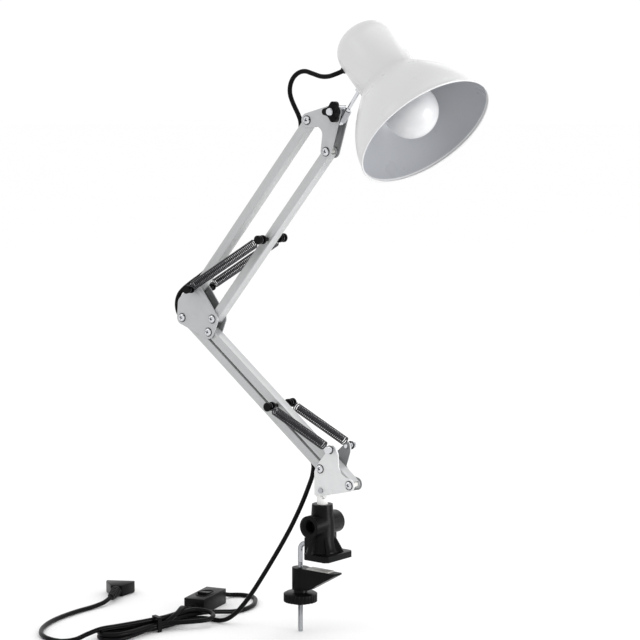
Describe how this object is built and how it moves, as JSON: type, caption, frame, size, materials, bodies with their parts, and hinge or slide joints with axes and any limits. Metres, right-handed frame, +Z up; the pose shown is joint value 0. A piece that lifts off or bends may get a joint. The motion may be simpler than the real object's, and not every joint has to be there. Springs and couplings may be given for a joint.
{
  "type": "swing arm desk lamp",
  "caption": "Clamp-on desk lamp with sprung parallelogram arms, a tilting bell shade with a frosted bulb, and a mains cord with inline switch and plug.",
  "frame": {"origin": "centre line of the swivel post, on the underside of the clamp foot, where it rests on the desk top", "axes": "+Z up along the swivel post, +X forwards to the shade in the plane of the arms, +Y to the far side"},
  "size_m": [0.5537, 0.3004, 0.7004],
  "materials": {
    "black_plastic": "satin moulded",
    "bright_steel": "zinc plated",
    "pale_pad": "matte",
    "white_paint": "semi-gloss",
    "light_grey_paint": "satin",
    "chrome": "polished",
    "silver_paint": "satin silver-grey",
    "grey_paint": "satin",
    "spring_steel": "black oxide",
    "nylon": "natural",
    "shade_paint": "gloss enamel",
    "holder_plastic": "glossy phenolic",
    "brass": "polished",
    "frosted_glass": "frosted opal",
    "bulb_cap_metal": "satin",
    "cord_pvc": "soft sheen PVC",
    "plug_pvc": "moulded PVC"
  },
  "bodies": {
    "root": {"clamp_body": "black_plastic", "clamp_bolt": "bright_steel", "mains_lead": "cord_pvc", "cord_hank": "cord_pvc", "cord_tie": "black_plastic", "switch_and_plug_leads": "cord_pvc", "inline_switch": "black_plastic", "mains_plug": "plug_pvc", "plug_pins": "brass"},
    "jaw": {"lower_jaw": "black_plastic", "jaw_pad": "pale_pad"},
    "knob": {"clamp_knob": "black_plastic"},
    "base": {"swivel_post": "white_paint", "base_plate_near": "light_grey_paint", "base_plate_far": "light_grey_paint", "base_rivet": "bright_steel", "base_screws": "chrome", "base_nuts": "chrome", "base_spring_studs": "chrome"},
    "lower_rear": {"lower_rear_bar": "silver_paint", "lower_bushes_rear": "nylon", "bar_cord_lower": "cord_pvc"},
    "lower_front": {"lower_front_bar": "silver_paint", "lower_bushes_front": "nylon", "lower_spring_pin": "bright_steel", "lower_spring_spools": "black_plastic", "lower_springs": "spring_steel"},
    "elbow": {"elbow_plate_near": "grey_paint", "elbow_plate_far": "grey_paint", "elbow_screws": "chrome", "elbow_nuts": "chrome", "elbow_anchor_pin": "bright_steel", "elbow_spools": "black_plastic", "elbow_cord": "cord_pvc"},
    "upper_rear": {"upper_rear_bar": "silver_paint", "upper_bushes_rear": "nylon", "bar_cord_upper": "cord_pvc"},
    "upper_front": {"upper_front_bar": "silver_paint", "upper_bushes_front": "nylon", "upper_spring_pin": "bright_steel", "upper_spring_spools": "black_plastic", "upper_springs": "spring_steel"},
    "head": {"head_plate_near": "grey_paint", "head_plate_far": "grey_paint", "head_screws": "chrome", "head_nuts": "chrome", "head_cord": "cord_pvc"},
    "tilt_knob": {"tilt_knob": "black_plastic", "tilt_screw": "chrome"},
    "knuckle": {"knuckle": "bright_steel"},
    "shade": {"stem": "chrome", "shade": "shade_paint", "neck_grommet": "black_plastic", "holder_bracket": "bright_steel", "lampholder": "holder_plastic", "holder_contacts": "brass", "bulb_globe": "frosted_glass", "bulb_cap": "bulb_cap_metal", "neck_cord": "cord_pvc"},
    "rocker": {"switch_rocker": "black_plastic"}
  },
  "joints": [
    {"name": "knob_turn", "type": "hinge", "parent": "jaw", "child": "knob", "pos_m": [-0.0325, 0, -0.05], "axis": [0, 0, 1], "range_deg": [-9360, 5040]},
    {"name": "jaw_slide", "type": "slide", "parent": "root", "child": "jaw", "axis": [0, 0, 1], "range_m": [-0.026, 0.014]},
    {"name": "base_swivel", "type": "hinge", "parent": "root", "child": "base", "pos_m": [0, 0, 0.04], "axis": [0, 0, 1], "range_deg": [-90, 90], "deforming": ["mains_lead"]},
    {"name": "lower_arm", "type": "hinge", "parent": "base", "child": "lower_rear", "pos_m": [0.003, 0, 0.104], "axis": [0, 1, 0], "range_deg": [-2.5, 70], "deforming": ["mains_lead", "elbow_cord", "bar_cord_lower", "lower_springs"]},
    {"name": "elbow_level", "type": "hinge", "parent": "lower_rear", "child": "elbow", "pos_m": [-0.20704, 0, 0.26228], "axis": [0, 1, 0], "range_deg": [-70, 2.5]},
    {"name": "lower_front_link", "type": "hinge", "parent": "base", "child": "lower_front", "pos_m": [0.0446, 0, 0.08968], "axis": [0, 1, 0], "range_deg": [-2.5, 70]},
    {"name": "upper_arm", "type": "hinge", "parent": "elbow", "child": "upper_rear", "pos_m": [-0.18663, 0, 0.29845], "axis": [0, 1, 0], "range_deg": [-45, 60], "deforming": ["elbow_cord", "head_cord", "bar_cord_upper", "upper_springs"]},
    {"name": "head_level", "type": "hinge", "parent": "upper_rear", "child": "head", "pos_m": [-0.01582, 0, 0.49844], "axis": [0, 1, 0], "range_deg": [-60, 45]},
    {"name": "upper_front_link", "type": "hinge", "parent": "elbow", "child": "upper_front", "pos_m": [-0.15954, 0, 0.26378], "axis": [0, 1, 0], "range_deg": [-45, 60]},
    {"name": "head_tilt", "type": "hinge", "parent": "head", "child": "knuckle", "pos_m": [0.02576, 0, 0.50826], "axis": [0, 1, 0], "range_deg": [-60, 35], "deforming": ["head_cord", "neck_cord"]},
    {"name": "knob_spin", "type": "hinge", "parent": "head", "child": "tilt_knob", "pos_m": [0.02576, 0, 0.50826], "axis": [0, 1, 0], "continuous": true},
    {"name": "shade_swivel", "type": "hinge", "parent": "knuckle", "child": "shade", "pos_m": [0.03135, 0, 0.50405], "axis": [0.6018, 0, 0.7986], "range_deg": [-60, 60], "deforming": ["head_cord", "neck_cord"]},
    {"name": "rocker_press", "type": "hinge", "parent": "root", "child": "rocker", "pos_m": [-0.18995, 0.01086, -0.075], "axis": [-0.9613, -0.2756, 0], "range_deg": [-14, 0]}
  ],
  "couplings": [
    {"joint": "knob_turn", "follows": "jaw_slide", "rad_per_m": 6283.2},
    {"joint": "elbow_level", "follows": "lower_arm", "ratio": -1},
    {"joint": "lower_front_link", "follows": "lower_arm", "ratio": 1},
    {"joint": "head_level", "follows": "upper_arm", "ratio": -1},
    {"joint": "upper_front_link", "follows": "upper_arm", "ratio": 1}
  ]
}
